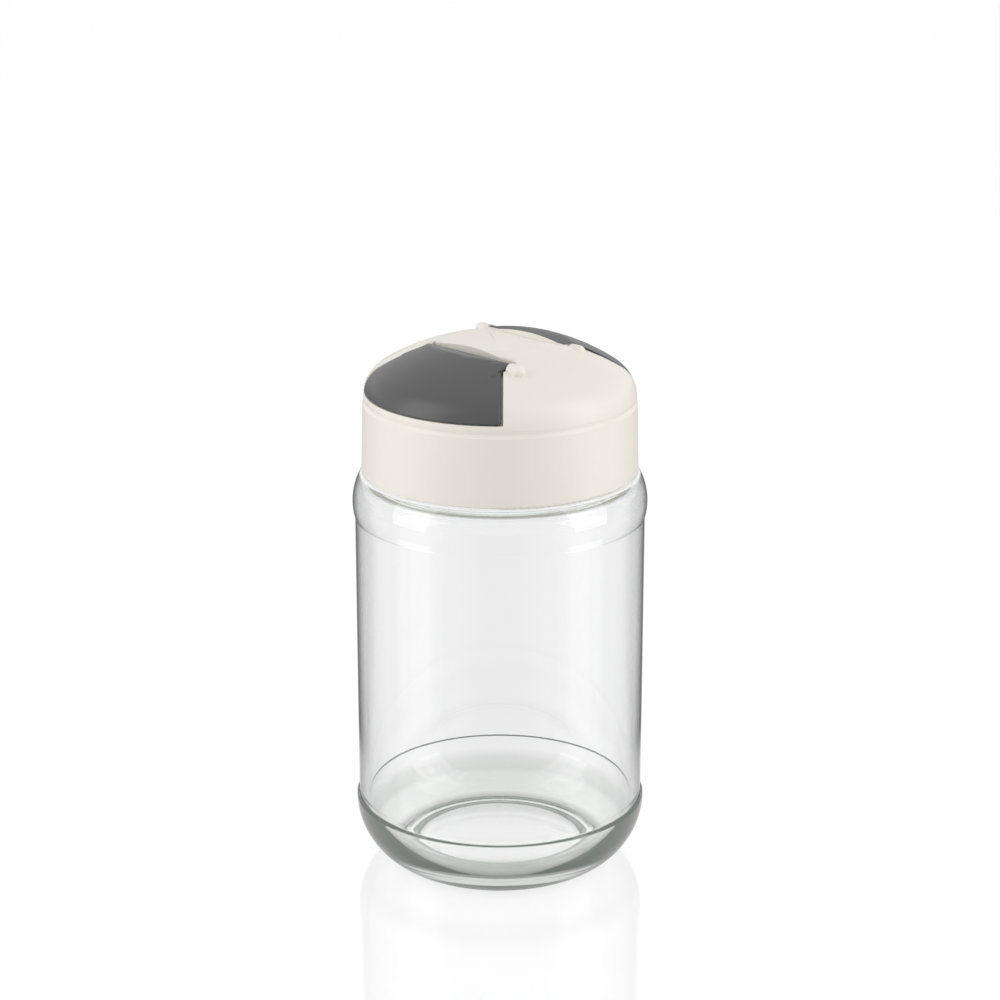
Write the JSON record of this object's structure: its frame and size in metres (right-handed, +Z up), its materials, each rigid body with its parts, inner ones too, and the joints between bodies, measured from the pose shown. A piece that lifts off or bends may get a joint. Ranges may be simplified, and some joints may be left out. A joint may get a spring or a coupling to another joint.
{
  "type": "spice shaker",
  "caption": "Glass spice jar with a domed screw cap that has a hinged flap over sprinkle holes and a second hinged flap over a pour opening.",
  "frame": {"origin": "centre of the ring that the jar stands on, at the bottom of the glass", "axes": "+Z up along the jar's axis, -Y towards the front, sprinkle flap at the front left, pour flap at the rear right"},
  "size_m": [0.075, 0.075, 0.1381],
  "materials": {
    "clear_glass": "polished clear soda-lime glass",
    "cream_plastic": "satin gloss moulded polypropylene, warm cream",
    "grey_plastic": "satin gloss moulded polypropylene, dark grey",
    "seal_foam": "soft white closed-cell sealing foam"
  },
  "bodies": {
    "jar": {"glass_jar": "clear_glass"},
    "seal": {"sealing_ring": "seal_foam"},
    "cap": {"cap_body": "cream_plastic"},
    "front_flap": {"sprinkle_flap": "grey_plastic"},
    "rear_flap": {"pour_flap": "grey_plastic"}
  },
  "joints": [
    {"name": "cap_lift", "type": "slide", "parent": "jar", "child": "seal", "axis": [0, 0, 1], "range_m": [0, 0.0063]},
    {"name": "cap_turn", "type": "hinge", "parent": "seal", "child": "cap", "pos_m": [0, 0, 0.122], "axis": [0, 0, 1], "range_deg": [0, 540]},
    {"name": "sprinkle_flap_hinge", "type": "hinge", "parent": "cap", "child": "front_flap", "pos_m": [-0.0087, -0.0087, 0.13545], "axis": [-0.7071, 0.7071, 0], "range_deg": [0, 90]},
    {"name": "pour_flap_hinge", "type": "hinge", "parent": "cap", "child": "rear_flap", "pos_m": [0.0087, 0.0087, 0.13545], "axis": [0.7071, -0.7071, 0], "range_deg": [0, 90]}
  ],
  "couplings": [
    {"joint": "cap_lift", "follows": "cap_turn", "m_per_rad": 0.000668}
  ]
}
